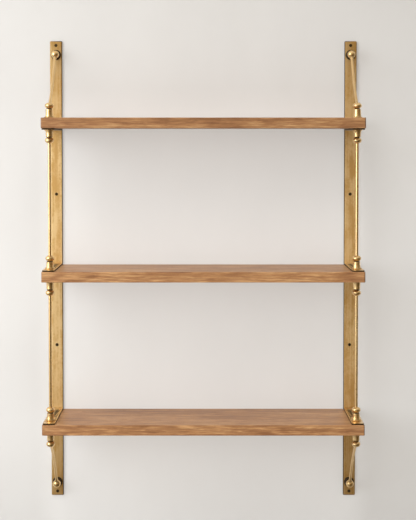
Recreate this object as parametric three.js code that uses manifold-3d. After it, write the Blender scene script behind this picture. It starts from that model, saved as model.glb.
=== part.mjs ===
// Wall shelf with brackets: three wooden boards carried by two mirrored brass brackets.
// Millimetres, +Z up, front towards -Y. The wall is the plane y = 0. The origin lies on it,
// at the middle of the middle board's back edge.
import * as THREE from "three";
import { mergeVertices } from "three/addons/utils/BufferGeometryUtils.js";
import Module from "manifold-3d";

const wasm = await Module();
wasm.setup();

// ---- Driving dimensions ----

const clearance = 0.3; // between pieces that touch, or that pass through each other

// Boards
const boardLength = 762;
const boardDepth = 203;
const boardThickness = 25;
const boardArris = 1.4; // chamfer of the long edges
const boardCornerRadius = 2; // rounding of the upright edges
const levelPitch = 362.5; // between the mid-planes of neighbouring boards
const levels = [
  { name: "top", z: levelPitch, armSide: -1 }, // the top board rests on its arms
  { name: "middle", z: 0, armSide: 1 }, // the others hang from arms on their upper face
  { name: "bottom", z: -levelPitch, armSide: 1 },
];

// Back bars, flat on the wall
const bracketInset = 16; // from a board's end to its bracket's centre plane
const barWidth = 30;
const barThickness = 6;
const barCornerRadius = 2.5;
const barEndMargin = 34; // from a ball end's centre to the end of the bar
const barChamfer = 0.5;

// Arms: flat plates with a tongue let into the bar
const armWidth = 29;
const armThickness = 3.2;
const armSetback = 2.5; // behind the board's front edge
const armCornerRadius = 4;
const armChamfer = 0.6;
const tongueWidth = 18;
const tongueEndGap = 0.6; // keeps the tongue's end off the wall

// Front rod, which threads every collar, arm and board
const rodDiameter = 7.4;
const rodSetback = 42; // from the board's front edge to the rod's axis
const rodEndGap = 5.6; // from the outer beads' centres to the rod's ends

// Turned collars, one on each face of each board
const collarReach = 28.2; // from the wood to the bead's centre
const footDiameter = 23.5;
const footThickness = 1.9;
const coveDiameter = 19; // where the body springs from the foot
const waistDiameter = 16.2;
const shoulderDiameter = 16.6;
const grooveDiameter = 14.2;
const grooveHeight = 1.2;
const beadDiameter = 20.6;
const beadHeight = 15.4;
const collarEdge = 0.5; // softens the foot's rim and the shoulder
const coveRise = 3; // how far up the body the cove reaches
const beadLip = 0.9; // flat left round the bore at an open bead's tip

// Ball ends, and the stays that run from the outer collars to them
const ballDiameter = 19.5;
const ballStandoff = 20; // from the bar's face to the ball's centre
const ballRise = 170.5; // from the outer board's mid-plane to the ball's centre
const ballNeckDiameter = 9.6;
const bossDiameter = 25; // the flared foot of the ball, on the bar's face
const bossRim = 1.2; // thickness of its outer edge
const bossHeight = 7; // from the bar's face to where the flare meets the neck
const postDiameter = 8;
const postEndGap = 0.6; // keeps the post's end off the wall
const stayDiameter = 6.2;
const stayBow = 11; // how far the stay bends away from a straight line, towards the board
const staySeat = 2.5; // from a bead's or ball's centre to the end of the stay inside it
const ferruleDiameter = 9.4; // the stay's swelling where it enters the ball
const ferruleLength = 17; // from the end inside the ball to where the swelling dies out
const ferruleBarrel = 6; // the straight part of it, most of it inside the ball
const ferruleTail = 0.8; // how much thinner than the stay its hidden tail is, in radius

// Countersunk slotted screws
const wallScrew = { headDiameter: 7.6, shankDiameter: 4, length: 45, slot: 1.1 };
const boardScrew = { headDiameter: 6.4, shankDiameter: 3.2, length: 19, slot: 0.9 };
const wallScrewEndMargin = 10.5; // from the bar's end to its end screw
const midScrewOffset = 6.8; // how far the inner wall screws sit outside the middle of a bay
const screwRim = 0.4; // the thin straight edge of a head
const screwPoint = 0.4; // radius of a blunt point
const screwTaper = 1.2; // length of the pointed end, in shank diameters
const cutterOverrun = 1; // how far a cutter runs on out of the surface it opens
const boardScrewInset = 5; // from the arm's centre line, towards the middle of the board
const boardScrewPlaces = [
  { name: "front", y: -113 },
  { name: "rear", y: -48 },
];

// How finely round forms are divided
const turnedSides = 12;
const rodSides = 12;
const screwSides = 8;
const staySides = 8;
const staySteps = 11;

// ---- Values that follow from them ----

const bracketX = boardLength / 2 - bracketInset;
const rodY = -(boardDepth - rodSetback);
const ballY = -(barThickness + ballStandoff);
const ballZ = levelPitch + ballRise;
const barHalfLength = ballZ + barEndMargin;
const beadFromMidPlane = boardThickness / 2 + clearance + collarReach;
const beadZ = levelPitch + beadFromMidPlane;
const armFrontY = -(boardDepth - armSetback);
const armMidFromMidPlane = boardThickness / 2 + clearance + armThickness / 2;
const wallScrewHeights = [1, -1].flatMap((s) => [
  s * (barHalfLength - wallScrewEndMargin),
  s * (levelPitch / 2 + midScrewOffset),
]);

// ---- Materials ----

const brass = () => new THREE.MeshStandardMaterial({ color: 0xb58a48, roughness: 0.34, metalness: 1 });
const screwBrass = () => new THREE.MeshStandardMaterial({ color: 0x5f4526, roughness: 0.5, metalness: 1 });
const wood = () => new THREE.MeshStandardMaterial({ color: 0xb58460, roughness: 0.6, metalness: 0 });

// ---- Tools for solids ----

// A closed three.js geometry as a manifold-3d solid.
function solidOf(geometry) {
  const bare = new THREE.BufferGeometry();
  bare.setAttribute("position", geometry.getAttribute("position"));
  bare.setIndex(geometry.getIndex());
  const merged = mergeVertices(bare, 1e-4);
  const mesh = new wasm.Mesh({
    numProp: 3,
    vertProperties: merged.getAttribute("position").array,
    triVerts: new Uint32Array(merged.getIndex().array),
  });
  return new wasm.Manifold(mesh);
}

// A manifold-3d solid as a three.js geometry.
function geometryOf(solid) {
  const { vertProperties, triVerts } = solid.getMesh();
  const geometry = new THREE.BufferGeometry();
  geometry.setAttribute("position", new THREE.BufferAttribute(new Float32Array(vertProperties), 3));
  geometry.setIndex(new THREE.BufferAttribute(new Uint32Array(triVerts), 1));
  geometry.computeVertexNormals();
  return geometry;
}

function cut(geometry, cutters) {
  const start = solidOf(geometry);
  return geometryOf(cutters.reduce((left, cutter) => left.subtract(solidOf(cutter)), start));
}

function joined(geometries) {
  return geometryOf(geometries.map(solidOf).reduce((all, one) => all.add(one)));
}

// A flat outline, extruded upwards about z = 0 with chamfered edges inside its size.
function slab(outline, thickness, edge) {
  return new THREE.ExtrudeGeometry(outline, {
    depth: thickness - 2 * edge,
    bevelEnabled: true,
    bevelThickness: edge,
    bevelSize: edge,
    bevelOffset: -edge,
    bevelSegments: 1,
    curveSegments: 2,
  }).translate(0, 0, edge - thickness / 2);
}

// A solid of revolution about Z. The profile runs from low to high outside, then back inside.
function turned(profile, sides) {
  return new THREE.LatheGeometry(profile, sides).rotateX(Math.PI / 2);
}

function roundHole(x, y, radius, sides) {
  const hole = new THREE.Path();
  for (let i = 0; i <= sides; i++) {
    const angle = (-2 * Math.PI * i) / sides;
    const point = [x + radius * Math.cos(angle), y + radius * Math.sin(angle)];
    if (i) hole.lineTo(...point);
    else hole.moveTo(...point);
  }
  return hole;
}

function rectangleHole(x, y, width, height) {
  const hole = new THREE.Path();
  hole.moveTo(x - width / 2, y - height / 2);
  hole.lineTo(x - width / 2, y + height / 2);
  hole.lineTo(x + width / 2, y + height / 2);
  hole.lineTo(x + width / 2, y - height / 2);
  hole.closePath();
  return hole;
}

// A closed outline through corners, each rounded by its own radius.
function roundedOutline(corners) {
  const shape = new THREE.Shape();
  corners.forEach(([x, y, radius], i) => {
    const here = new THREE.Vector2(x, y);
    const toward = (other) => new THREE.Vector2(other[0], other[1]).sub(here).normalize();
    const before = toward(corners[(i + corners.length - 1) % corners.length]);
    const after = toward(corners[(i + 1) % corners.length]);
    const start = here.clone().addScaledVector(before, radius);
    const end = here.clone().addScaledVector(after, radius);
    if (i) shape.lineTo(start.x, start.y);
    else shape.moveTo(start.x, start.y);
    if (radius > 0) shape.quadraticCurveTo(x, y, end.x, end.y);
  });
  shape.closePath();
  return shape;
}

const group = new THREE.Group();
group.name = "wall_shelf_with_brackets";

function place(name, geometry, material, position = [0, 0, 0]) {
  const mesh = new THREE.Mesh(geometry, material);
  mesh.name = name;
  mesh.position.set(...position);
  group.add(mesh);
}

// ---- Screws ----

// A countersunk screw along -Z, with the top of its head at z = 0. `grow` swells it into a cutter.
function screwBlank({ headDiameter, shankDiameter, length }, grow = 0) {
  const head = headDiameter / 2 + grow;
  const shank = shankDiameter / 2 + grow;
  const top = grow ? cutterOverrun : 0;
  const profile = [
    new THREE.Vector2(0, -length - grow),
    new THREE.Vector2(screwPoint + grow, -length - grow),
    new THREE.Vector2(shank, -length + shankDiameter * screwTaper),
    new THREE.Vector2(shank, -(head - shank) - screwRim),
    new THREE.Vector2(head, -screwRim),
    new THREE.Vector2(head, top),
    new THREE.Vector2(0, top),
  ];
  return turned(profile, screwSides);
}

function screw(spec) {
  const slot = new THREE.BoxGeometry(spec.headDiameter + cutterOverrun, spec.slot, spec.slot * 2);
  return cut(screwBlank(spec), [slot]);
}

// Turns a -Z screw to run into the wall, or up or down into a board.
const intoWall = (geometry) => geometry.rotateX(-Math.PI / 2).rotateX(Math.PI);
const intoBoard = (geometry, side) => (side > 0 ? geometry : geometry.rotateX(Math.PI));

// ---- Boards ----

// The heads lie flush with the arms' outer faces.
function boardScrewPositions(level, side) {
  const x = side * (bracketX - boardScrewInset);
  const z = level.z + level.armSide * (armMidFromMidPlane + armThickness / 2);
  return boardScrewPlaces.map(({ name, y }) => ({ name, at: [x, y, z] }));
}

function boardOutline() {
  const end = boardLength / 2;
  const notchX = bracketX - barWidth / 2 - clearance;
  const notchY = -(barThickness + clearance);
  const radius = boardCornerRadius;
  const outline = roundedOutline([
    [-end, -boardDepth, radius],
    [end, -boardDepth, radius],
    [end, notchY, radius],
    [notchX, notchY, 0],
    [notchX, 0, radius],
    [-notchX, 0, radius],
    [-notchX, notchY, 0],
    [-end, notchY, radius],
  ]);
  const bore = rodDiameter / 2 + clearance;
  for (const side of [-1, 1]) outline.holes.push(roundHole(side * bracketX, rodY, bore, rodSides));
  return outline;
}

for (const level of levels) {
  const pilots = [-1, 1].flatMap((side) =>
    boardScrewPositions(level, side).map(({ at: [x, y, z] }) =>
      intoBoard(screwBlank(boardScrew, clearance), level.armSide).translate(x, y, z - level.z),
    ),
  );
  const board = cut(slab(boardOutline(), boardThickness, boardArris), pilots);
  place("board_" + level.name, board, wood(), [0, 0, level.z]);
}

// ---- Brackets ----

function backBar() {
  const outline = roundedOutline([
    [-barWidth / 2, -barHalfLength, barCornerRadius],
    [barWidth / 2, -barHalfLength, barCornerRadius],
    [barWidth / 2, barHalfLength, barCornerRadius],
    [-barWidth / 2, barHalfLength, barCornerRadius],
  ]);
  for (const level of levels) {
    const slotZ = level.z + level.armSide * armMidFromMidPlane;
    const height = armThickness + 2 * clearance;
    outline.holes.push(rectangleHole(0, slotZ, tongueWidth + 2 * clearance, height));
  }
  for (const end of [-1, 1]) {
    outline.holes.push(roundHole(0, end * ballZ, postDiameter / 2 + clearance, rodSides));
  }
  const bar = slab(outline, barThickness, barChamfer).rotateX(Math.PI / 2);
  const countersinks = wallScrewHeights.map((z) =>
    intoWall(screwBlank(wallScrew, clearance)).translate(0, -barThickness / 2, z),
  );
  return cut(bar, countersinks);
}

// The arm lies at z = 0 with its centre line on x = 0; `side` is the bracket it belongs to.
function arm(level, side) {
  const half = armWidth / 2;
  const backY = -(barThickness + clearance);
  const outline = roundedOutline([
    [-half, armFrontY, armCornerRadius],
    [half, armFrontY, armCornerRadius],
    [half, backY, 0],
    [tongueWidth / 2, backY, 0],
    [tongueWidth / 2, -tongueEndGap, 0],
    [-tongueWidth / 2, -tongueEndGap, 0],
    [-tongueWidth / 2, backY, 0],
    [-half, backY, 0],
  ]);
  outline.holes.push(roundHole(0, rodY, rodDiameter / 2 + clearance, rodSides));
  const countersinks = boardScrewPlaces.map(({ y }) =>
    intoBoard(screwBlank(boardScrew, clearance), level.armSide).translate(
      -side * boardScrewInset,
      y,
      (level.armSide * armThickness) / 2,
    ),
  );
  return cut(slab(outline, armThickness, armChamfer), countersinks);
}

// A turned collar that stands on z = 0 with its bead's centre at z = reach. An end collar's bead
// is closed over the rod; the others are bored right through.
function collar(reach, isEnd) {
  const bore = rodDiameter / 2 + clearance;
  const foot = footDiameter / 2;
  const grooveTop = reach - beadHeight / 2 + grooveHeight / 2;
  const grooveFoot = grooveTop - grooveHeight;
  const path = new THREE.Path();
  path.moveTo(bore, 0);
  path.lineTo(foot - collarEdge, 0);
  path.lineTo(foot, collarEdge);
  path.lineTo(foot, footThickness - collarEdge);
  path.lineTo(foot - collarEdge, footThickness);
  path.lineTo(coveDiameter / 2, footThickness);
  path.bezierCurveTo(
    waistDiameter / 2, footThickness + coveRise,
    waistDiameter / 2, (footThickness + grooveFoot) / 2,
    shoulderDiameter / 2, grooveFoot - collarEdge,
  );
  path.lineTo(grooveDiameter / 2, grooveFoot);
  path.lineTo(grooveDiameter / 2, grooveTop);
  const riseStart = Math.asin((grooveTop - reach) / (beadHeight / 2));
  const topRadius = bore + beadLip;
  const riseEnd = isEnd ? Math.PI / 2 : Math.acos(topRadius / (beadDiameter / 2));
  const profile = path.getPoints(3);
  const beadSteps = 4;
  for (let i = 0; i <= beadSteps; i++) {
    const rise = riseStart + ((riseEnd - riseStart) * i) / beadSteps;
    const r = isEnd && i === beadSteps ? 0 : (beadDiameter / 2) * Math.cos(rise);
    profile.push(new THREE.Vector2(r, reach + (beadHeight / 2) * Math.sin(rise)));
  }
  if (isEnd) {
    profile.push(new THREE.Vector2(0, reach - rodEndGap + clearance));
    profile.push(new THREE.Vector2(bore, reach - rodEndGap + clearance));
  } else {
    profile.push(new THREE.Vector2(bore, reach + (beadHeight / 2) * Math.sin(riseEnd)));
  }
  profile.push(new THREE.Vector2(bore, 0));
  return turned(profile, turnedSides);
}

// The stay's centre line for the upper end, from the bead's centre to the ball's centre.
function stayCurve() {
  const low = new THREE.Vector3(0, rodY, beadZ);
  const high = new THREE.Vector3(0, ballY, ballZ);
  const along = high.clone().sub(low).normalize();
  const sideways = new THREE.Vector3(0, along.z, -along.y); // towards the wall and the board
  const control = low.clone().lerp(high, 0.5).addScaledVector(sideways, 2 * stayBow);
  return new THREE.QuadraticBezierCurve3(low, control, high);
}

// The upper stay between its two seats, swollen by `grow` when it cuts its own sockets.
function stay(grow) {
  const whole = stayCurve();
  const length = whole.getLength();
  const seat = staySeat - grow;
  const points = [];
  for (let i = 0; i <= staySteps; i++) {
    points.push(whole.getPointAt((seat + ((length - 2 * seat) * i) / staySteps) / length));
  }
  const radius = stayDiameter / 2 + grow;
  const section = new THREE.Shape();
  for (let i = 0; i < staySides; i++) {
    const angle = (2 * Math.PI * i) / staySides;
    const point = [radius * Math.cos(angle), radius * Math.sin(angle)];
    if (i) section.lineTo(...point);
    else section.moveTo(...point);
  }
  section.closePath();
  const tube = new THREE.ExtrudeGeometry(section, {
    steps: staySteps,
    bevelEnabled: false,
    extrudePath: new THREE.CatmullRomCurve3(points),
  });
  // The ferrule: a cone that runs from the ball down along the stay, its tail inside it.
  const wide = ferruleDiameter / 2 + grow;
  const cone = turned(
    [
      new THREE.Vector2(0, 0),
      new THREE.Vector2(radius - ferruleTail, 0),
      new THREE.Vector2(wide, ferruleLength - ferruleBarrel),
      new THREE.Vector2(wide, ferruleLength),
      new THREE.Vector2(0, ferruleLength),
    ],
    turnedSides,
  );
  const end = points[points.length - 1];
  const start = whole.getPointAt((length - seat - ferruleLength) / length);
  const direction = end.clone().sub(start).normalize();
  const turn = new THREE.Quaternion().setFromUnitVectors(new THREE.Vector3(0, 0, 1), direction);
  const tail = end.clone().addScaledVector(direction, -ferruleLength);
  cone.applyQuaternion(turn).translate(tail.x, tail.y, tail.z);
  return joined([tube, cone]);
}

// The ball with its neck, flared boss and post, along -Y, with the bar's back at y = 0.
function ballEnd() {
  const radius = ballDiameter / 2;
  const neck = ballNeckDiameter / 2;
  const barFace = barThickness + clearance;
  const centre = barThickness + ballStandoff;
  const path = [
    new THREE.Vector2(0, postEndGap),
    new THREE.Vector2(postDiameter / 2, postEndGap),
    new THREE.Vector2(postDiameter / 2, barFace),
    new THREE.Vector2(bossDiameter / 2, barFace),
    new THREE.Vector2(bossDiameter / 2, barFace + bossRim),
    new THREE.Vector2(neck, barFace + bossHeight),
  ];
  const start = -Math.acos(neck / radius);
  const ballSteps = 5;
  for (let i = 0; i <= ballSteps; i++) {
    const rise = start + ((Math.PI / 2 - start) * i) / ballSteps;
    const r = i === ballSteps ? 0 : radius * Math.cos(rise);
    path.push(new THREE.Vector2(r, centre + radius * Math.sin(rise)));
  }
  return turned(path, turnedSides).rotateX(Math.PI / 2);
}

// A collar stood on its head, and an upper stay mirrored into a lower one.
const flipped = (geometry) => geometry.rotateX(Math.PI);
const mirrored = (geometry) => geometryOf(solidOf(geometry).mirror([0, 0, 1]));
const stayAt = (end, grow) => (end > 0 ? stay(grow) : mirrored(stay(grow)));

for (const side of [-1, 1]) {
  const hand = side < 0 ? "left" : "right";
  const x = side * bracketX;
  place(hand + "_back_bar", backBar(), brass(), [x, -barThickness / 2, 0]);

  const rodHalf = beadZ - rodEndGap;
  const rod = new THREE.CylinderGeometry(rodDiameter / 2, rodDiameter / 2, 2 * rodHalf, rodSides);
  place(hand + "_front_rod", rod.rotateX(Math.PI / 2), brass(), [x, rodY, 0]);

  for (const level of levels) {
    place(`${hand}_arm_${level.name}`, arm(level, side), brass(), [
      x,
      0,
      level.z + level.armSide * armMidFromMidPlane,
    ]);
    for (const face of [1, -1]) {
      const onArm = face === level.armSide;
      const seat = clearance + (onArm ? armMidFromMidPlane + armThickness / 2 : boardThickness / 2);
      const isEnd = face * level.z === levelPitch;
      const shape = collar(beadFromMidPlane - seat, isEnd);
      let geometry = (face > 0 ? shape : flipped(shape)).translate(0, rodY, level.z + face * seat);
      if (isEnd) geometry = cut(geometry, [stayAt(face, clearance)]);
      const where = face > 0 ? "above" : "below";
      place(`${hand}_collar_${where}_${level.name}`, geometry, brass(), [x, 0, 0]);
    }
    for (const { name, at } of boardScrewPositions(level, side)) {
      const geometry = intoBoard(screw(boardScrew), level.armSide);
      place(`${hand}_board_screw_${level.name}_${name}`, geometry, screwBrass(), at);
    }
  }

  for (const end of [1, -1]) {
    const where = end > 0 ? "upper" : "lower";
    place(`${hand}_stay_${where}`, stayAt(end, 0), brass(), [x, 0, 0]);
    const ball = cut(ballEnd().translate(0, 0, end * ballZ), [stayAt(end, clearance)]);
    place(`${hand}_ball_end_${where}`, ball, brass(), [x, 0, 0]);
  }

  wallScrewHeights.forEach((z, i) => {
    place(`${hand}_wall_screw_${i + 1}`, intoWall(screw(wallScrew)), screwBrass(), [x, -barThickness, z]);
  });
}

export default group;
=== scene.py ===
"""Looks of the wall shelf: boards of oiled oak on two aged brass brackets, on a pale plaster wall.

Everything is in metres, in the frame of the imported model: +Z up, the front faces -Y, the wall is y = 0.
"""

import math

import bmesh
import bpy
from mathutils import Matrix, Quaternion, Vector


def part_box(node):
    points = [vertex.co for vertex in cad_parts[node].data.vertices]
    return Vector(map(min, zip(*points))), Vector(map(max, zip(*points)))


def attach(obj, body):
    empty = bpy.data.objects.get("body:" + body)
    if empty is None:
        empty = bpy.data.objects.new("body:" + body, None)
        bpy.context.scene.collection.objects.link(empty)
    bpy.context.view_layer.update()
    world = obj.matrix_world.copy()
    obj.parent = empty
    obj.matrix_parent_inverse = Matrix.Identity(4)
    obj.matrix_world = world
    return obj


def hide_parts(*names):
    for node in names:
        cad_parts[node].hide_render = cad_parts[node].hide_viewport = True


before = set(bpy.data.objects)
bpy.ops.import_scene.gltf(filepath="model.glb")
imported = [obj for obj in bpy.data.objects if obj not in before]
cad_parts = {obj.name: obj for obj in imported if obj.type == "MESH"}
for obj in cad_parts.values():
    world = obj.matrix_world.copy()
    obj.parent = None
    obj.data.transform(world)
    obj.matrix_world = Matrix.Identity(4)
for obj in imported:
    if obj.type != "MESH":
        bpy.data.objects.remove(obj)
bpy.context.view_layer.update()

MM = 0.001
LEVELS = ("top", "middle", "bottom")
HANDS = ("left", "right")

# ---------------------------------------------------------------- camera

SENSOR = 36.0  # mm, the picture's long side
LENS = 95.73  # mm
CAMERA_DISTANCE = 3.4415  # from the wall
CAMERA_HEIGHT = 0.3206
HORIZON_RISE = 0.2293  # of the picture's height, from its middle up to eye level
SHIFT = 0.130  # the part of that rise taken by the shift; tilt takes the rest
SIDE_SHIFT = 0.009


def make_camera():
    data = bpy.data.cameras.new("camera")
    data.sensor_width = SENSOR
    data.lens = LENS
    data.clip_start = 0.05
    data.clip_end = 60.0
    data.shift_y = -SHIFT
    data.shift_x = SIDE_SHIFT
    camera = bpy.data.objects.new("camera", data)
    tilt = math.atan((HORIZON_RISE - SHIFT) * SENSOR / LENS)
    camera.location = (0.0, -CAMERA_DISTANCE, CAMERA_HEIGHT)
    camera.rotation_euler = (math.pi / 2 - tilt, 0.0, 0.0)
    bpy.context.scene.collection.objects.link(camera)
    bpy.context.scene.camera = camera


make_camera()

# ---------------------------------------------------------------- sizes read from the frame


def span(node):
    """Centre and size of a CAD node's box."""
    low, high = (Vector(corner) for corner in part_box(node))
    return (low + high) / 2, high - low


# ---------------------------------------------------------------- material nodes


class Nodes:
    """A node tree, with short calls for the nodes in it."""

    def __init__(self, tree):
        self.tree = tree

    def add(self, kind, **properties):
        node = self.tree.nodes.new(kind)
        for key, value in properties.items():
            setattr(node, key, value)
        return node

    def link(self, source, target):
        self.tree.links.new(source, target)

    def feed(self, socket, value):
        if isinstance(value, bpy.types.NodeSocket):
            self.link(value, socket)
        else:
            socket.default_value = value

    def axes(self, vector):
        node = self.add("ShaderNodeSeparateXYZ")
        self.link(vector, node.inputs[0])
        return node.outputs["X"], node.outputs["Y"], node.outputs["Z"]

    def math(self, operation, a, b=0.0, c=0.0, clamp=False):
        node = self.add("ShaderNodeMath", operation=operation, use_clamp=clamp)
        for socket, value in zip(node.inputs, (a, b, c)):
            self.feed(socket, value)
        return node.outputs[0]

    def weighted(self, *parts):
        """The sum of (value, weight) pairs."""
        total = None
        for value, weight in parts:
            part = self.math("MULTIPLY", value, weight)
            total = part if total is None else self.math("ADD", total, part)
        return total

    def remap(self, value, low, high, to_low=0.0, to_high=1.0, smooth=False):
        node = self.add("ShaderNodeMapRange")
        if smooth:
            node.interpolation_type = "SMOOTHSTEP"
        ends = {"From Min": low, "From Max": high, "To Min": to_low, "To Max": to_high}
        for name, number in ends.items():
            node.inputs[name].default_value = number
        self.feed(node.inputs["Value"], value)
        return node.outputs["Result"]

    def ramp(self, value, stops):
        node = self.add("ShaderNodeValToRGB")
        elements = node.color_ramp.elements
        while len(elements) < len(stops):
            elements.new(0.5)
        for element, (place, colour) in zip(elements, stops):
            element.position = place
            element.color = (*colour, 1.0)
        self.feed(node.inputs["Fac"], value)
        return node.outputs["Color"]

    def mix(self, factor, a, b):
        node = self.add("ShaderNodeMix", data_type="RGBA")
        self.feed(node.inputs["Factor"], factor)
        for socket, value in ((node.inputs["A"], a), (node.inputs["B"], b)):
            self.feed(socket, value if isinstance(value, bpy.types.NodeSocket) else (*value, 1.0))
        return node.outputs["Result"]


class Shader(Nodes):
    """A Principled material."""

    def __init__(self, name, **values):
        self.material = bpy.data.materials.new(name)
        self.material.use_nodes = True
        super().__init__(self.material.node_tree)
        self.bsdf = self.tree.nodes["Principled BSDF"]
        for socket, value in values.items():
            self.bsdf.inputs[socket.replace("_", " ")].default_value = value
        self.object = self.add("ShaderNodeTexCoord").outputs["Object"]

    def scaled(self, scale, offset=(0, 0, 0), source=None):
        node = self.add("ShaderNodeMapping")
        self.link(source or self.object, node.inputs["Vector"])
        node.inputs["Scale"].default_value = scale
        node.inputs["Location"].default_value = offset
        return node.outputs["Vector"]

    def noise(self, vector, detail=3.0, roughness=0.5, distortion=0.0):
        node = self.add("ShaderNodeTexNoise")
        self.link(vector, node.inputs["Vector"])
        node.inputs["Scale"].default_value = 1.0
        node.inputs["Detail"].default_value = detail
        node.inputs["Roughness"].default_value = roughness
        node.inputs["Distortion"].default_value = distortion
        return node.outputs["Fac"]

    def painted(self, name):
        """A value that the mesh carries at its vertices."""
        return self.add("ShaderNodeAttribute", attribute_name=name).outputs["Fac"]

    def bump(self, height, distance, strength, under=None):
        node = self.add("ShaderNodeBump")
        node.inputs["Strength"].default_value = strength
        node.inputs["Distance"].default_value = distance
        self.link(height, node.inputs["Height"])
        if under is not None:
            self.link(under, node.inputs["Normal"])
        return node.outputs["Normal"]

    def set(self, **sources):
        for socket, source in sources.items():
            self.link(source, self.bsdf.inputs[socket.replace("_", " ")])
        return self.material

    def clear_from_behind(self):
        behind = self.add("ShaderNodeNewGeometry").outputs["Backfacing"]
        clear = self.add("ShaderNodeBsdfTransparent")
        choose = self.add("ShaderNodeMixShader")
        for source, target in zip((behind, self.bsdf.outputs[0], clear.outputs[0]), choose.inputs):
            self.link(source, target)
        output = next(n for n in self.tree.nodes if n.type == "OUTPUT_MATERIAL")
        self.link(choose.outputs[0], output.inputs["Surface"])
        return self.material


OAK_DARK, OAK_MIDDLE, OAK_LIGHT = (0.235, 0.100, 0.036), (0.420, 0.208, 0.083), (0.600, 0.345, 0.152)
LATE_WOOD = (0.230, 0.098, 0.040)
DARK_FIBRE = (0.200, 0.086, 0.034)
PORE = (0.110, 0.048, 0.020)
END_GRAIN_AND_SHADE = (0.080, 0.036, 0.015)
RING_PITCH = 4.6 * MM
HEART = (0.055, -0.045)  # y and z of the tree's heart before a board's own shift
HEART_SLANT = 0.016  # how far the heart runs off the board's line, per metre
SEED_SHIFT = (0.73, 0.31, 0.17)  # metres for a seed of one


def oak(name, seed, shade):
    """Mid-brown oiled oak, sawn along X. The seed picks a board's place in the tree, and shade dims it."""
    s = Shader(name, IOR=1.5, Specular_IOR_Level=0.42)
    here = s.scaled((1, 1, 1), [seed * shift for shift in SEED_SHIFT])
    # Slow wander of the grain, then growth rings as distance from the heart.
    wander = s.noise(s.scaled((1.6, 9, 9), source=here))
    fine_wander = s.noise(s.scaled((9, 60, 60), source=here))
    x, y, z = s.axes(here)
    heart_y = s.math("SUBTRACT", s.math("ADD", y, s.math("MULTIPLY", x, HEART_SLANT)), HEART[0])
    heart_z = s.math("SUBTRACT", z, HEART[1])
    square = s.math("ADD", s.math("MULTIPLY", heart_y, heart_y), s.math("MULTIPLY", heart_z, heart_z))
    bend = s.weighted((wander, 34 * MM), (fine_wander, 4.5 * MM))
    radius = s.math("ADD", s.math("SQRT", square), bend)
    ring = s.math("FRACT", s.math("MULTIPLY", radius, 1 / RING_PITCH))
    late_wood = s.remap(s.math("POWER", ring, 2.2), 0.25, 1.0, smooth=True)
    # Fibres and open pores, all drawn out along the board.
    fibre = s.noise(s.scaled((26, 390, 390), source=here), detail=5.0, roughness=0.65, distortion=0.25)
    figure = s.noise(s.scaled((20, 150, 150), source=here), detail=5.0, roughness=0.62, distortion=0.5)
    strand = s.noise(s.scaled((5, 120, 120), source=here), detail=4.0, roughness=0.6)
    patch = s.noise(s.scaled((3.5, 14, 14), source=here))
    pore = s.noise(s.scaled((60, 1150, 1150), source=here), detail=2.0)
    pores = s.math("MULTIPLY", s.remap(pore, 0.58, 0.68), s.remap(ring, 0.0, 0.5, 1.0, 0.4))
    tone = s.weighted((strand, 0.3), (patch, 0.25), (figure, 0.45))
    shades = [[shade * part for part in colour] for colour in (OAK_DARK, OAK_MIDDLE, OAK_LIGHT)]
    colour = s.ramp(tone, list(zip((0.40, 0.49, 0.58), shades)))
    colour = s.mix(s.math("MULTIPLY", late_wood, 0.52), colour, LATE_WOOD)
    colour = s.mix(s.remap(fibre, 0.36, 0.58, 0.60, 0.0), colour, DARK_FIBRE)
    colour = s.mix(s.math("MULTIPLY", pores, 0.50), colour, PORE)
    # End grain and painted shade on the board ends, carried by the mesh.
    colour = s.mix(s.math("MULTIPLY", s.painted("tarnish_and_shade"), 0.68), colour, END_GRAIN_AND_SHADE)
    rough = s.math("ADD", s.remap(fibre, 0.3, 0.7, 0.38, 0.50), s.math("MULTIPLY", pores, 0.2))
    height = s.weighted((fibre, 0.5), (pores, -0.8), (late_wood, 0.35))
    return s.set(Base_Color=colour, Roughness=rough, Normal=s.bump(height, 0.25 * MM, 0.55))


# Colour of tarnish and of painted shade, which share the mesh's tarnish_and_shade channel.
TARNISH_AND_SHADE = (0.020, 0.010, 0.004)
# Painted shade, brownish, towards both ends of the bars.
BAR_END_SHADE = (0.320, 0.165, 0.035)
BAR_END_SHADE_FOOT = (-0.22, -0.57)  # heights where the painted shade at a bar's foot starts and is full
BAR_END_SHADE_HEAD = (0.30, 0.57)


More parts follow.
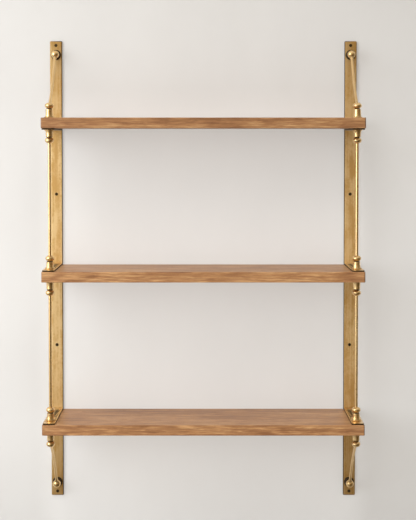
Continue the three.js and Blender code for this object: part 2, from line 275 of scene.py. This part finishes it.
def brass(name, grain, tones, roughness, brushed, dents=0.05, mottling=1.0, metallic=1.0, end_shade=0.0):
    """Aged brass.

    `grain` scales the scratch noise, low along the direction of the brushing. `tones` are the light
    and the dark colour, and `mottling` is how sharply they part. `brushed` and `dents` are depths in
    mm. `end_shade` is how much painted shade darkens and browns the colour towards the ends of the bars.
    """
    s = Shader(name, Specular_IOR_Level=0.12)
    blotch = s.noise(s.scaled((42, 42, 16)), detail=5.0, roughness=0.65)
    mottle = s.noise(s.scaled((240, 240, 190)), roughness=0.6, distortion=0.6)
    scratch = s.noise(s.scaled(grain), detail=4.0, roughness=0.7)
    streak = s.noise(s.scaled([0.3 * scale for scale in grain]), roughness=0.6)
    tone = s.weighted((blotch, 0.5), (mottle, 0.2), (streak, 0.3))
    reach = 0.09 / mottling
    light, dark = tones
    colour = s.mix(s.remap(tone, 0.49 - reach, 0.49 + reach, smooth=True), dark, light)
    # Painted shade: the colour darkens and browns towards both ends of the bars.
    if end_shade:
        height = s.axes(s.object)[2]
        foot = s.remap(height, *BAR_END_SHADE_FOOT, 0.0, end_shade)
        head = s.remap(height, *BAR_END_SHADE_HEAD, 0.0, end_shade)
        colour = s.mix(s.math("ADD", foot, head), colour, BAR_END_SHADE)
    # Tarnish and painted shade: one dull dark skin over the metal, patina in the hollows and painted shade on
    # rims and round the balls' feet.
    tarnish_and_shade = s.painted("tarnish_and_shade")
    colour = s.mix(s.math("MULTIPLY", tarnish_and_shade, 0.97), colour, TARNISH_AND_SHADE)
    metal = s.math("MULTIPLY_ADD", tarnish_and_shade, -0.85 * metallic, metallic, clamp=True)
    rough = s.remap(scratch, 0.3, 0.7, roughness - 0.05, roughness + 0.07)
    rough = s.math("ADD", rough, s.remap(mottle, 0.4, 0.7, -0.03 * mottling, 0.06 * mottling))
    rough = s.math("ADD", rough, s.math("MULTIPLY", tarnish_and_shade, 0.2), clamp=True)
    normal = s.bump(scratch, brushed * MM, 0.5)
    normal = s.bump(mottle, dents * MM, 0.35, under=normal)
    return s.set(Base_Color=colour, Roughness=rough, Normal=normal, Metallic=metal)


SCREW_DARK, SCREW_WORN = (0.045, 0.030, 0.016), (0.210, 0.140, 0.068)


def dark_brass(name):
    """Darkened screw heads, rubbed brighter in places."""
    s = Shader(name, Metallic=1.0)
    wear = s.noise(s.scaled((900, 900, 900)))
    colour = s.mix(s.remap(wear, 0.45, 0.72), SCREW_DARK, SCREW_WORN)
    rough = s.remap(wear, 0.3, 0.7, 0.62, 0.42)
    return s.set(Base_Color=colour, Roughness=rough, Normal=s.bump(wear, 0.05 * MM, 0.4))


PLASTER_DULL, PLASTER_PALE = (0.455, 0.449, 0.440), (0.505, 0.501, 0.492)
GLOW_COLOUR = (1.0, 0.985, 0.965, 1)
GLOW, LEAST_GLOW = 0.20, 0.03
GLOW_HEIGHT = -0.05  # where the wall's own light is strongest
GLOW_FALL = 0.22  # what it loses a metre above or below that, with the square of the distance
GLOW_LEAN = 0.045  # what it gains per metre to the left
GLOW_BETWEEN = 0.12  # painted light it gains behind the boards


def plaster(name):
    """Pale plaster of the wall behind: only the stage uses it."""
    s = Shader(name, Roughness=0.85, Specular_IOR_Level=0.25)
    broad = s.noise(s.scaled((2.2, 2.2, 1.6)), detail=5.0, roughness=0.55)
    trowel = s.noise(s.scaled((14, 14, 5)), detail=4.0, roughness=0.6)
    colour = s.mix(s.remap(broad, 0.3, 0.7), PLASTER_DULL, PLASTER_PALE)
    height = s.weighted((broad, 0.6), (trowel, 0.4))
    # Painted light: the wall glows a little of its own, in a wide soft pool, which keeps the shadows as faint
    # as a big studio's.
    s.bsdf.inputs["Emission Color"].default_value = GLOW_COLOUR
    x, _, z = s.axes(s.object)
    rise = s.math("SUBTRACT", z, GLOW_HEIGHT)
    own = s.math("MULTIPLY_ADD", s.math("MULTIPLY", rise, rise), -GLOW_FALL, GLOW)
    own = s.math("MAXIMUM", s.math("MULTIPLY_ADD", x, -GLOW_LEAN, own), LEAST_GLOW)
    # More painted light behind the boards, standing in for light thrown back and forth between them.
    between = s.remap(s.math("ABSOLUTE", x), 0.35, 0.43, GLOW_BETWEEN, 0.0, smooth=True)
    between = s.math("MULTIPLY", between, s.remap(z, 0.36, 0.46, 1.0, 0.0, smooth=True))
    between = s.math("MULTIPLY", between, s.remap(z, -0.95, -0.45, 0.0, 1.0, smooth=True))
    own = s.math("ADD", own, between)
    s.set(Base_Color=colour, Normal=s.bump(height, 3 * MM, 0.25), Emission_Strength=own)
    # The wall has one side only, so a view from behind still shows the shelf's back.
    return s.clear_from_behind()


BAR_TONES = (0.940, 0.700, 0.360), (0.740, 0.460, 0.165)
TURNED_TONES = (0.940, 0.690, 0.350), (0.720, 0.460, 0.185)
# The stays' brass is a slightly darker copy of the turned brass: painted shade.
STAY_SHADED_TONES = (0.880, 0.640, 0.330), (0.680, 0.440, 0.180)
MATERIALS = {
    "bar": brass("brass_brushed_upright", (900, 900, 14), BAR_TONES, 0.50, 0.02, metallic=0.80, end_shade=0.68),
    "arm": brass("brass_brushed_level", (900, 14, 900), BAR_TONES, 0.30, 0.015),
    "turned": brass("brass_turned", (30, 30, 1400), TURNED_TONES, 0.28, 0.006, 0.01, mottling=0.4),
    "rod": brass("brass_drawn", (180, 180, 8), TURNED_TONES, 0.28, 0.001, 0.002, mottling=0.25),
    "stay": brass("brass_bent", (160, 160, 30), STAY_SHADED_TONES, 0.33, 0.001, 0.002, mottling=0.25),
    "screw": dark_brass("dark_screw_brass"),
}

# ---------------------------------------------------------------- mesh tools

SHARP = math.radians(38)


def add_piece(node, bm, look, material=None, flat=False):
    """Turns a bmesh into the piece that stands for a CAD node."""
    bmesh.ops.recalc_face_normals(bm, faces=bm.faces)
    for face in bm.faces:
        face.smooth = True
    for edge in bm.edges:
        edge.smooth = len(edge.link_faces) == 2 and edge.calc_face_angle(0.0) < SHARP
    mesh = bpy.data.meshes.new(node + "_look")
    bm.to_mesh(mesh)
    bm.free()
    mesh.materials.append(material or MATERIALS[look])
    piece = bpy.data.objects.new(node + "_look", mesh)
    bpy.context.scene.collection.objects.link(piece)
    if flat:
        weighted = piece.modifiers.new("even_flats", "WEIGHTED_NORMAL")
        weighted.keep_sharp = True
        weighted.weight = 100
    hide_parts(node)
    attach(piece, "root")
    return piece


def moved(bm, rotation=None, offset=(0, 0, 0)):
    for vertex in bm.verts:
        if rotation is not None:
            vertex.co = rotation @ vertex.co
        vertex.co += Vector(offset)
    return bm


def rounded(corners, steps=6):
    """A closed outline, anticlockwise, through (x, y, radius) corners with true arcs."""
    points = []
    count = len(corners)
    for i, (x, y, radius) in enumerate(corners):
        here = Vector((x, y))
        if radius <= 0:
            points.append(here)
            continue
        before = (Vector(corners[i - 1][:2]) - here).normalized()
        after = (Vector(corners[(i + 1) % count][:2]) - here).normalized()
        centre = here + (before + after) * radius
        start = -after
        turn = start.angle_signed(-before)
        for k in range(steps + 1):
            angle = -turn * k / steps
            spoke = Vector(
                (
                    start.x * math.cos(angle) - start.y * math.sin(angle),
                    start.x * math.sin(angle) + start.y * math.cos(angle),
                )
            )
            points.append(centre + spoke * radius)
    return points


def circle(x, y, radius, sides=40):
    """A round hole, clockwise."""
    return [
        Vector((x + radius * math.cos(-a), y + radius * math.sin(-a)))
        for a in (2 * math.pi * k / sides for k in range(sides))
    ]


def inset(loop, distance):
    """The loop moved to its left by distance, with mitred corners."""
    moved_points = []
    for i, here in enumerate(loop):
        arrive = (here - loop[i - 1]).normalized()
        leave = (loop[(i + 1) % len(loop)] - here).normalized()
        left = Vector((-arrive.y, arrive.x))
        other = Vector((-leave.y, leave.x))
        middle = (left + other).normalized()
        moved_points.append(here + middle * distance / max(middle.dot(left), 0.3))
    return moved_points


def plate(loops, thickness, edge, hole_edge=None, steps=3, rim_painted_shade=0.0):
    """A flat slab about z = 0: the first loop is its outline, the others its holes. Rims are rounded.

    The painted shade of the rims fades out over the last step of their rounding.
    """
    bm = bmesh.new()
    layer = bm.verts.layers.float.new("tarnish_and_shade")
    half = thickness / 2
    caps = {1: [], -1: []}
    for index, loop in enumerate(loops):
        radius = edge if index == 0 or hole_edge is None else hole_edge
        rings = []
        quarter = [math.pi / 2 * k / steps for k in range(steps + 1)]
        levels = [(radius * (1 - math.sin(a)), -half + radius * (1 - math.cos(a))) for a in quarter]
        levels += [(back, -height) for back, height in reversed(levels)]
        for back, height in levels:
            rings.append([bm.verts.new((p.x, p.y, height)) for p in inset(loop, back)])
        for ring in rings[1:-1]:
            for vertex in ring:
                vertex[layer] = rim_painted_shade
        for low, high in zip(rings, rings[1:]):
            for k in range(len(loop)):
                bm.faces.new((low[k - 1], low[k], high[k], high[k - 1]))
        for side, ring in ((-1, rings[0]), (1, rings[-1])):
            for k in range(len(ring)):
                caps[side].append(bm.edges.get((ring[k - 1], ring[k])))
    for side, edges in caps.items():
        bmesh.ops.triangle_fill(bm, use_beauty=True, edges=edges, normal=(0, 0, side))
    return bm


def lathe(profile, sides=56, closed=False, tarnish_and_shade=None):
    """A solid of revolution about Z through (radius, height) points; tarnish_and_shade is one value per
    point.
    """
    bm = bmesh.new()
    layer = bm.verts.layers.float.new("tarnish_and_shade")
    rings = []
    for index, (radius, height) in enumerate(profile):
        count = 1 if radius < 1e-7 else sides
        ring = []
        for k in range(count):
            angle = 2 * math.pi * k / sides
            vertex = bm.verts.new((radius * math.cos(angle), radius * math.sin(angle), height))
            vertex[layer] = tarnish_and_shade[index] if tarnish_and_shade else 0.0
            ring.append(vertex)
        rings.append(ring)
    pairs = list(zip(rings, rings[1:]))
    if closed:
        pairs.append((rings[-1], rings[0]))
    for low, high in pairs:
        for k in range(sides):
            corners = [low[k % len(low)], low[(k + 1) % len(low)]]
            corners += [high[(k + 1) % len(high)], high[k % len(high)]]
            unique = list(dict.fromkeys(corners))
            if len(unique) > 2:
                bm.faces.new(unique)
    return bm


def sweep(centres, radii, sides=28, tarnish_and_shade=None):
    """A round bar along points in a plane of constant x, closed by flat ends."""
    bm = bmesh.new()
    layer = bm.verts.layers.float.new("tarnish_and_shade")
    rings = []
    for i, (centre, radius) in enumerate(zip(centres, radii)):
        ahead = centres[min(i + 1, len(centres) - 1)] - centres[max(i - 1, 0)]
        along = ahead.normalized()
        out = Vector((1, 0, 0))
        side = along.cross(out)
        ring = []
        for k in range(sides):
            angle = 2 * math.pi * k / sides
            vertex = bm.verts.new(centre + (out * math.cos(angle) + side * math.sin(angle)) * radius)
            vertex[layer] = tarnish_and_shade[i] if tarnish_and_shade else 0.0
            ring.append(vertex)
        rings.append(ring)
    for low, high in zip(rings, rings[1:]):
        for k in range(sides):
            bm.faces.new((low[k - 1], low[k], high[k], high[k - 1]))
    bm.faces.new(rings[0])
    bm.faces.new(rings[-1])
    return bm


def arc(centre_r, centre_h, radius_r, radius_h, start, end, steps):
    """Points of an elliptical arc in a lathe profile, with angles in degrees from +r towards +h."""
    angles = [math.radians(start + (end - start) * k / steps) for k in range(steps + 1)]
    return [(centre_r + radius_r * math.cos(a), centre_h + radius_h * math.sin(a)) for a in angles]


def subtract(bm, cutters):
    """bm with the cutter bmeshes taken away by an exact boolean."""
    target = bpy.data.objects.new("target", bpy.data.meshes.new("target"))
    bm.to_mesh(target.data)
    bm.free()
    helpers = [target]
    bpy.context.scene.collection.objects.link(target)
    for cutter in cutters:
        bmesh.ops.recalc_face_normals(cutter, faces=cutter.faces)
        helper = bpy.data.objects.new("cutter", bpy.data.meshes.new("cutter"))
        cutter.to_mesh(helper.data)
        cutter.free()
        bpy.context.scene.collection.objects.link(helper)
        helpers.append(helper)
        boolean = target.modifiers.new("cut", "BOOLEAN")
        boolean.object = helper
        boolean.operation = "DIFFERENCE"
        boolean.solver = "EXACT"
    bpy.context.view_layer.update()
    graph = bpy.context.evaluated_depsgraph_get()
    result = bmesh.new()
    result.from_mesh(target.evaluated_get(graph).to_mesh())
    for helper in helpers:
        mesh = helper.data
        bpy.data.objects.remove(helper)
        bpy.data.meshes.remove(mesh)
    return result


# ---------------------------------------------------------------- boards

GAP = 0.3 * MM
BORE = 4.0 * MM  # radius of the rod's hole in boards, arms and collars
BOARD_ARRIS = 1.5 * MM
BOARD_CORNER = 3.0 * MM
BORE_EDGE = 0.4 * MM
LEFT_END_SHADE_SHARE = 0.4  # how dark the left ends are, as a part of the right ones, which carry painted shade besides the end grain

bar_centre, bar_size = span("right_back_bar")
BRACKET_X = bar_centre.x
ROD_Y = span("right_front_rod")[0].y


def board(level, seed, shade):
    node = "board_" + level
    centre, size = span(node)
    end = size.x / 2
    front, back = centre.y - size.y / 2, centre.y + size.y / 2
    notch_x = BRACKET_X - bar_size.x / 2 - GAP
    notch_y = -(bar_size.y + GAP)
    outline = rounded(
        [
            (-end, front, BOARD_CORNER),
            (end, front, BOARD_CORNER),
            (end, notch_y, BOARD_CORNER),
            (notch_x, notch_y, 0),
            (notch_x, back, BOARD_CORNER),
            (-notch_x, back, BOARD_CORNER),
            (-notch_x, notch_y, 0),
            (-end, notch_y, BOARD_CORNER),
        ]
    )
    bores = [circle(side * BRACKET_X, ROD_Y, BORE) for side in (-1, 1)]
    bm = plate([outline] + bores, size.z, BOARD_ARRIS, BORE_EDGE, steps=4)
    # End grain drinks more oil, so the ends darken through the corners' rounding; the right ends are darker
    # still with painted shade, as they turn away from the window light.
    layer = bm.verts.layers.float["tarnish_and_shade"]
    for vertex in bm.verts:
        into_corner = (abs(vertex.co.x) - end + BOARD_CORNER) / BOARD_CORNER
        value = min(1.0, max(0.0, into_corner * 1.8))
        vertex[layer] = value if vertex.co.x > 0 else LEFT_END_SHADE_SHARE * value
    moved(bm, offset=(0, 0, centre.z))
    add_piece(node, bm, "oak", oak("oak_" + level, seed, shade), flat=True)


BOARD_SEEDS, BOARD_SHADES = (0.0, 2.1, 5.3), (0.79, 0.94, 0.97)
for level, seed, shade in zip(LEVELS, BOARD_SEEDS, BOARD_SHADES):
    board(level, seed, shade)

# ---------------------------------------------------------------- screws

SCREW_SIDES = 32
SHANK = 0.5  # of the head's radius
HEAD_RIM = 0.35 * MM
SLOT_HALF_WIDTH, SLOT_DEPTH = 0.13, 0.34  # of the head's radius
HOLE_GROWTH = 0.25 * MM
HOLE_DEPTH = 30 * MM


def screw_blank(head, length):
    """Countersunk screw along -Z, head's top at z = 0; head is its radius."""
    shank = head * SHANK
    cone = -(head - shank) - HEAD_RIM
    profile = [(0, -length), (shank * 0.25, -length + 0.2 * MM), (shank, -length + 2.4 * shank)]
    profile += [(shank, cone), (head, -HEAD_RIM), (head, -0.12 * MM), (head - 0.15 * MM, 0), (0, 0)]
    return lathe(profile, SCREW_SIDES)


def screw(node, head, into, slot_angle):
    """A slotted screw whose head faces away from the unit vector `into`."""
    low, high = (Vector(corner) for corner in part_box(node))
    length = max(high - low)
    centre = (low + high) / 2
    top = centre - Vector(into) * length / 2
    slot = bmesh.new()
    bmesh.ops.create_cube(slot, size=2.0)
    for vertex in slot.verts:
        x, y, z = vertex.co
        vertex.co = Vector((x * 1.5, y * SLOT_HALF_WIDTH, z * SLOT_DEPTH)) * head
    moved(slot, Quaternion((0, 0, 1), slot_angle))
    bm = subtract(screw_blank(head, length), [slot])
    turn = Vector((0, 0, -1)).rotation_difference(Vector(into))
    moved(bm, turn, top)
    add_piece(node, bm, "screw")


WALL_HEAD = 3.7 * MM
BOARD_HEAD = 3.1 * MM
for h, hand in enumerate(HANDS):
    for n in range(1, 5):
        screw(f"{hand}_wall_screw_{n}", WALL_HEAD, (0, 1, 0), 0.7 + 1.9 * n + 0.8 * h)
    for n, level in enumerate(LEVELS):
        into = (0, 0, 1) if level == "top" else (0, 0, -1)
        for m, place in enumerate(("front", "rear")):
            screw(f"{hand}_board_screw_{level}_{place}", BOARD_HEAD, into, 0.4 + 1.3 * n + 2.2 * m + h)


def countersink(head, into, top):
    """Cutter for a screw's hole: a little larger than the screw, and open above its head."""
    shank = head * SHANK
    wide, narrow = head + HOLE_GROWTH, shank + HOLE_GROWTH
    profile = [(0, -HOLE_DEPTH), (narrow, -HOLE_DEPTH), (narrow, -(head - shank) - 0.5 * MM)]
    profile += [(wide, -0.4 * MM), (wide, 0), (head + 0.5 * MM, 1 * MM), (0, 1 * MM)]
    turn = Vector((0, 0, -1)).rotation_difference(Vector(into))
    return moved(lathe(profile, SCREW_SIDES), turn, top)


# ---------------------------------------------------------------- bars and arms

BAR_CORNER = 2.5 * MM
BAR_EDGE = 2.0 * MM
ARM_CORNER = 4.0 * MM
ARM_EDGE = 0.4 * MM
EDGE_PAINTED_SHADE = 1.0  # painted shade: the plates' edges are painted darker than their faces
OUTER_EDGE_SHADE_SHARE = 0.3  # the part of that painted shade the bars' outer edges keep; the inner edges, seen side on, keep it all
BAR_HOLE_EDGE, ARM_HOLE_EDGE = 0.15 * MM, 0.2 * MM
TONGUE = 9.0 * MM  # half width
POST = 4.0 * MM
BAR_END_MARGIN = 34 * MM  # from a ball's centre to the end of the bar

for hand in HANDS:
    node = hand + "_back_bar"
    centre, size = span(node)
    x, z = size.x / 2, size.z / 2
    outline = rounded([(-x, -z, BAR_CORNER), (x, -z, BAR_CORNER), (x, z, BAR_CORNER), (-x, z, BAR_CORNER)])
    holes = []
    for level in LEVELS:
        arm_centre, arm_size = span(f"{hand}_arm_{level}")
        half = arm_size.z / 2 + GAP
        wide = TONGUE + GAP
        low, high = arm_centre.z - half, arm_centre.z + half
        holes.append([Vector(p) for p in ((-wide, low), (-wide, high), (wide, high), (wide, low))])
    for sign in (1, -1):
        holes.append(circle(0, sign * (z - BAR_END_MARGIN), POST + GAP))
    bm = plate([outline] + holes, size.y, BAR_EDGE, BAR_HOLE_EDGE, rim_painted_shade=EDGE_PAINTED_SHADE)
    # Painted shade: the inner rims stay dark, and the outer rims keep only a part of it.
    layer = bm.verts.layers.float["tarnish_and_shade"]
    for vertex in bm.verts:
        if vertex.co.x * centre.x > 0:
            vertex[layer] *= OUTER_EDGE_SHADE_SHARE
    moved(bm, Quaternion((1, 0, 0), math.pi / 2), centre)
    face = centre.y - size.y / 2
    cutters = []
    for n in range(1, 5):
        height = span(f"{hand}_wall_screw_{n}")[0].z
        cutters.append(countersink(WALL_HEAD, (0, 1, 0), (centre.x, face, height)))
    add_piece(node, subtract(bm, cutters), "bar", flat=True)

    for level in LEVELS:
        node = f"{hand}_arm_{level}"
        centre, size = span(node)
        wide = size.x / 2
        front = centre.y - size.y / 2
        back, end = -(bar_size.y + GAP), centre.y + size.y / 2
        outline = rounded(
            [
                (-wide, front, ARM_CORNER),
                (wide, front, ARM_CORNER),
                (wide, back, 0),
                (TONGUE, back, 0),
                (TONGUE, end, 0),
                (-TONGUE, end, 0),
                (-TONGUE, back, 0),
                (-wide, back, 0),
            ]
        )
        loops = [outline, circle(0, ROD_Y, BORE)]
        bm = plate(loops, size.z, ARM_EDGE, ARM_HOLE_EDGE, rim_painted_shade=EDGE_PAINTED_SHADE)
        moved(bm, offset=(centre.x, 0, centre.z))
        side = -1 if level == "top" else 1
        cutters = []
        for place in ("front", "rear"):
            at = span(f"{hand}_board_screw_{level}_{place}")[0]
            top = (at.x, at.y, centre.z + side * size.z / 2)
            cutters.append(countersink(BOARD_HEAD, (0, 0, -side), top))
        add_piece(node, subtract(bm, cutters), "arm", flat=True)

# ---------------------------------------------------------------- rods, collars, stays, ball ends


def rod(hand):
    node = hand + "_front_rod"
    centre, size = span(node)
    radius, half = size.x / 2, size.z / 2
    bevel = 0.4 * MM
    profile = [(0, -half), (radius - bevel, -half), (radius, -half + bevel)]
    profile += [(radius, -half + size.z * k / 12) for k in range(1, 12)]
    profile += [(radius, half - bevel), (radius - bevel, half), (0, half)]
    bm = moved(lathe(profile, 36), offset=centre)
    add_piece(node, bm, "rod")


BEAD_R, BEAD_H = 10.3 * MM, 7.7 * MM
BEAD_LIP = 0.9 * MM  # flat round the bore at an open bead's tip
ROD_END_GAP = 5.6 * MM  # from an outer bead's centre to the rod's end
FOOT_R, COVE_R, WAIST_R, SHOULDER_R, GROOVE_R = (r * MM for r in (11.75, 9.5, 8.1, 8.3, 7.1))
FOOT_HEIGHT = 1.9 * MM
FOOT_ROUND = 0.9 * MM
COVE_HEIGHT = 2.2 * MM
GROOVE_HEIGHT = 1.2 * MM


def collar(node, up, closed_end):
    """A turned collar standing on its foot: foot, cove, waist, shoulder, groove and bead."""
    low, high = (Vector(corner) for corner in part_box(node))
    seat = low.z if up else high.z
    height = high.z - low.z
    # The bead's top is cut off by the rod's hole unless the bead is closed over the rod.
    top_cut = BEAD_H if closed_end else BEAD_H * math.sin(math.acos((BORE + BEAD_LIP) / BEAD_R))
    reach = height - top_cut
    groove_top = reach - BEAD_H + GROOVE_HEIGHT / 2
    groove_low = groove_top - GROOVE_HEIGHT
    profile, tarnish_and_shade = [], []

    def take(points, dark=0.0):
        profile.extend(points)
        tarnish_and_shade.extend([dark] * len(points))

    take([(BORE, 0), (FOOT_R - 0.6 * MM, 0)], 0.6)
    take(arc(FOOT_R - FOOT_ROUND, FOOT_HEIGHT / 2, FOOT_ROUND, FOOT_HEIGHT / 2, -75, 75, 8))
    take([(COVE_R + 0.5 * MM, FOOT_HEIGHT + 0.05 * MM), (COVE_R, COVE_HEIGHT)], 0.75)
    # The body falls in from the cove to the waist and swells again to the shoulder.
    body = (groove_low - COVE_HEIGHT) * 0.96
    steps = 14
    for k in range(1, steps + 1):
        t = k / steps
        flare = (COVE_R - WAIST_R) * (1 - t) ** 2.6
        swell = (SHOULDER_R - WAIST_R) * t**2.4
        take([(WAIST_R + flare + swell, COVE_HEIGHT + body * t)])
    take([(SHOULDER_R - 0.25 * MM, groove_low - 0.15 * MM)], 0.2)
    take([(GROOVE_R, groove_low + 0.15 * MM), (GROOVE_R, groove_top - 0.1 * MM)], 1.0)
    start = math.degrees(math.asin((groove_top - reach) / BEAD_H))
    stop = 90 if closed_end else math.degrees(math.acos((BORE + BEAD_LIP) / BEAD_R))
    take(arc(0, reach, BEAD_R, BEAD_H, start, stop, 18))
    if closed_end:
        profile[-1] = (0, profile[-1][1])
        depth = reach - ROD_END_GAP + GAP
        take([(0, depth), (BORE, depth)], 0.5)
    else:
        take([(BORE + 0.2 * MM, reach + top_cut), (BORE, reach + top_cut - 0.2 * MM)], 0.5)
    bm = lathe(profile, 56, closed=True, tarnish_and_shade=tarnish_and_shade)
    turn = None if up else Quaternion((1, 0, 0), math.pi)
    centre = span(node.split("_")[0] + "_front_rod")[0]
    moved(bm, turn, (centre.x, centre.y, seat))
    add_piece(node, bm, "turned")


BALL_R = 9.75 * MM
BALL_STEPS = 26
BALL_OFF = 20 * MM  # from the bar's face to the ball's centre
NECK_R = 4.8 * MM
BOSS_R, BOSS_RIM, BOSS_HEIGHT = 12.5 * MM, 1.2 * MM, 7 * MM  # the flared foot under the ball
BOSS_ROUND = 0.7 * MM
POST_BACK = 0.6 * MM  # from the wall to the post's end


def ball_height(end):
    """Height of a ball's axis, which keeps its margin to the end of the bar."""
    height = bar_centre.z + bar_size.z / 2 - BAR_END_MARGIN
    return height if end == "upper" else -height


def ball_end(node):
    hand = node.split("_")[0]
    x = span(hand + "_back_bar")[0].x
    face = bar_size.y + GAP
    middle = bar_size.y + BALL_OFF
    profile = [(0, POST_BACK), (POST, POST_BACK), (POST, face), (BOSS_R - 0.2 * MM, face)]
    # Painted shade and painted dark reflection: the post, the boss and the neck are dark, for the ball's
    # shadow and reflection on its foot.
    tarnish_and_shade = [0.3, 0.3, 0.8, 0.8]
    rim = arc(BOSS_R - BOSS_ROUND, face + BOSS_ROUND, BOSS_ROUND, BOSS_ROUND, -60, 70, 6)
    profile += rim
    tarnish_and_shade += [1.0] * len(rim)
    # The flare leaves the rim low and turns up into the neck.
    steps = 14
    for k in range(1, steps + 1):
        t = k / steps
        radius = NECK_R + (BOSS_R - BOSS_RIM - NECK_R) * (1 - t) ** 1.7
        profile.append((radius, face + BOSS_RIM + t * (BOSS_HEIGHT - BOSS_RIM)))
        tarnish_and_shade.append(1.0)
    start = -math.degrees(math.acos(NECK_R / BALL_R))
    ball = arc(0, middle, BALL_R, BALL_R, start, 90, BALL_STEPS)
    profile += ball
    # The painted shade of the neck fades out halfway along the ball's profile, so the ball's back is painted
    # darker too.
    tarnish_and_shade += [max(0.0, 1 - 2 * k / BALL_STEPS) for k in range(len(ball))]
    profile[-1] = (0, profile[-1][1])
    bm = lathe(profile, 56, tarnish_and_shade=tarnish_and_shade)
    moved(bm, Quaternion((1, 0, 0), math.pi / 2), (x, 0, ball_height(node.split("_")[-1])))
    add_piece(node, bm, "turned")


STAY_BOW = 11 * MM
STAY_R = 3.1 * MM
FERRULE_R = 4.7 * MM
FERRULE_REACH = 9 * MM  # how far the swelling runs out of the ball
STAY_TRIM = 0.012  # the part of a stay's path left out at each end
BEAD_ENTRY = 7.5 * MM  # from a bead's centre to where the stay goes in
JOINT_TARNISH = 2.2 * MM  # how far the dark runs from a stay's joints


def stay(hand, end):
    node = f"{hand}_stay_{end}"
    up = 1 if end == "upper" else -1
    x = span(hand + "_back_bar")[0].x
    outer = f"{hand}_collar_above_top" if up > 0 else f"{hand}_collar_below_bottom"
    low, high = (Vector(corner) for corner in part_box(outer))
    bead = high.z - BEAD_H if up > 0 else low.z + BEAD_H
    start = Vector((x, ROD_Y, bead))
    finish = Vector((x, -(bar_size.y + BALL_OFF), ball_height(end)))
    along = (finish - start).normalized()
    sideways = Vector((0, abs(along.z), -up * along.y))
    control = (start + finish) / 2 + sideways * 2 * STAY_BOW
    steps = 72
    centres, radii, tarnish_and_shade = [], [], []
    length = (finish - start).length
    for k in range(steps + 1):
        t = STAY_TRIM + (1 - 2 * STAY_TRIM) * k / steps
        centres.append(start * (1 - t) ** 2 + control * 2 * t * (1 - t) + finish * t * t)
        from_ball = (1 - t) * length
        swell = max(0.0, 1 - max(0.0, from_ball - BALL_R) / FERRULE_REACH)
        radii.append(STAY_R + (FERRULE_R - STAY_R) * swell**1.8)
        near = min(abs(from_ball - BALL_R), abs(t * length - BEAD_ENTRY))
        tarnish_and_shade.append(max(0.0, 1 - near / JOINT_TARNISH) * 0.8)
    add_piece(node, sweep(centres, radii, tarnish_and_shade=tarnish_and_shade), "stay")


for hand in HANDS:
    rod(hand)
    for level in LEVELS:
        collar(f"{hand}_collar_above_{level}", True, level == "top")
        collar(f"{hand}_collar_below_{level}", False, level == "bottom")
    for end in ("upper", "lower"):
        ball_end(f"{hand}_ball_end_{end}")
        stay(hand, end)

# ---------------------------------------------------------------- stage and light

WALL_Y = -0.4 * MM  # the backs sit just behind the wall's skin, so that a view from behind sees them
FLOOR_Z = -1.15


def stage_plane(name, corners, material, glossy=True):
    mesh = bpy.data.meshes.new(name)
    mesh.from_pydata(corners, [], [(0, 1, 2, 3)])
    mesh.materials.append(material)
    plane = bpy.data.objects.new(name, mesh)
    bpy.context.scene.collection.objects.link(plane)
    plane.visible_glossy = glossy


stage_plane(
    "wall",
    [(-3, WALL_Y, FLOOR_Z), (3, WALL_Y, FLOOR_Z), (3, WALL_Y, 2.2), (-3, WALL_Y, 2.2)],
    plaster("wall_plaster"),
)
floor_look = Shader("floor_pale", Base_Color=(0.74, 0.73, 0.71, 1), Roughness=0.7)
stage_plane(
    "floor",
    [(-8, -9, FLOOR_Z), (8, -9, FLOOR_Z), (8, 9, FLOOR_Z), (-8, 9, FLOOR_Z)],
    floor_look.clear_from_behind(),
    glossy=False,
)


def area_light(name, place, target, size, power, colour=(1, 1, 1), glossy=True):
    data = bpy.data.lights.new(name, "AREA")
    data.shape = "RECTANGLE"
    data.size, data.size_y = size
    data.energy = power
    data.color = colour
    light = bpy.data.objects.new(name, data)
    light.location = place
    light.rotation_euler = (Vector(target) - Vector(place)).to_track_quat("-Z", "Y").to_euler()
    light.visible_camera = False
    light.visible_glossy = glossy
    bpy.context.scene.collection.objects.link(light)


# The target is given after the place, then the size in metres and the power in watts.
area_light("window", (-2.15, -1.65, 0.75), (0, 0, 0), (1.4, 2.2), 44, (0.95, 0.975, 1.0))
area_light("skylight", (-0.6, -1.7, 2.4), (0, 0, 0), (2.6, 1.2), 38, (1.0, 0.97, 0.92), glossy=False)
area_light("room_fill", (0.2, -4.6, 0.3), (0, 0, 0.1), (5.0, 2.8), 27, (1.0, 0.985, 0.965), glossy=False)
area_light("behind", (0.6, 3.0, 1.6), (0, 0, 0), (3.0, 2.4), 60)


ROOM = [  # colours of the room from the far left to the far right
    (0.00, (0.95, 0.96, 0.98)),
    (0.24, (0.90, 0.89, 0.88)),
    (0.36, (0.76, 0.73, 0.69)),
    (0.46, (0.56, 0.460, 0.315)),
    (0.57, (0.46, 0.330, 0.180)),
    (0.72, (0.20, 0.145, 0.085)),
    (1.00, (0.20, 0.165, 0.125)),
]
CEILING = (1.0, 0.97, 0.93)
BACKDROP = (0.84, 0.83, 0.81)


def make_world():
    """A pale room on the left, a dim warm one ahead and on the right, pale again where the camera looks."""
    world = bpy.data.worlds.new("studio")
    bpy.context.scene.world = world
    world.use_nodes = True
    n = Nodes(world.node_tree)
    x, _, z = n.axes(n.add("ShaderNodeTexCoord").outputs["Generated"])
    room = n.ramp(n.math("MULTIPLY_ADD", x, 0.5, 0.5), ROOM)
    # A darker room below the bottom board.
    dimmed = n.add("ShaderNodeVectorMath", operation="SCALE")
    n.link(room, dimmed.inputs[0])
    n.link(n.remap(z, -0.35, 0.02, 0.35, 1.0), dimmed.inputs["Scale"])
    lit = n.mix(n.remap(z, 0.25, 0.8, 0.0, 0.8), dimmed.outputs["Vector"], CEILING)
    seen = n.mix(n.add("ShaderNodeLightPath").outputs["Is Camera Ray"], lit, BACKDROP)
    n.link(seen, n.tree.nodes["Background"].inputs["Color"])


make_world()
bpy.context.scene.view_settings.view_transform = "Standard"
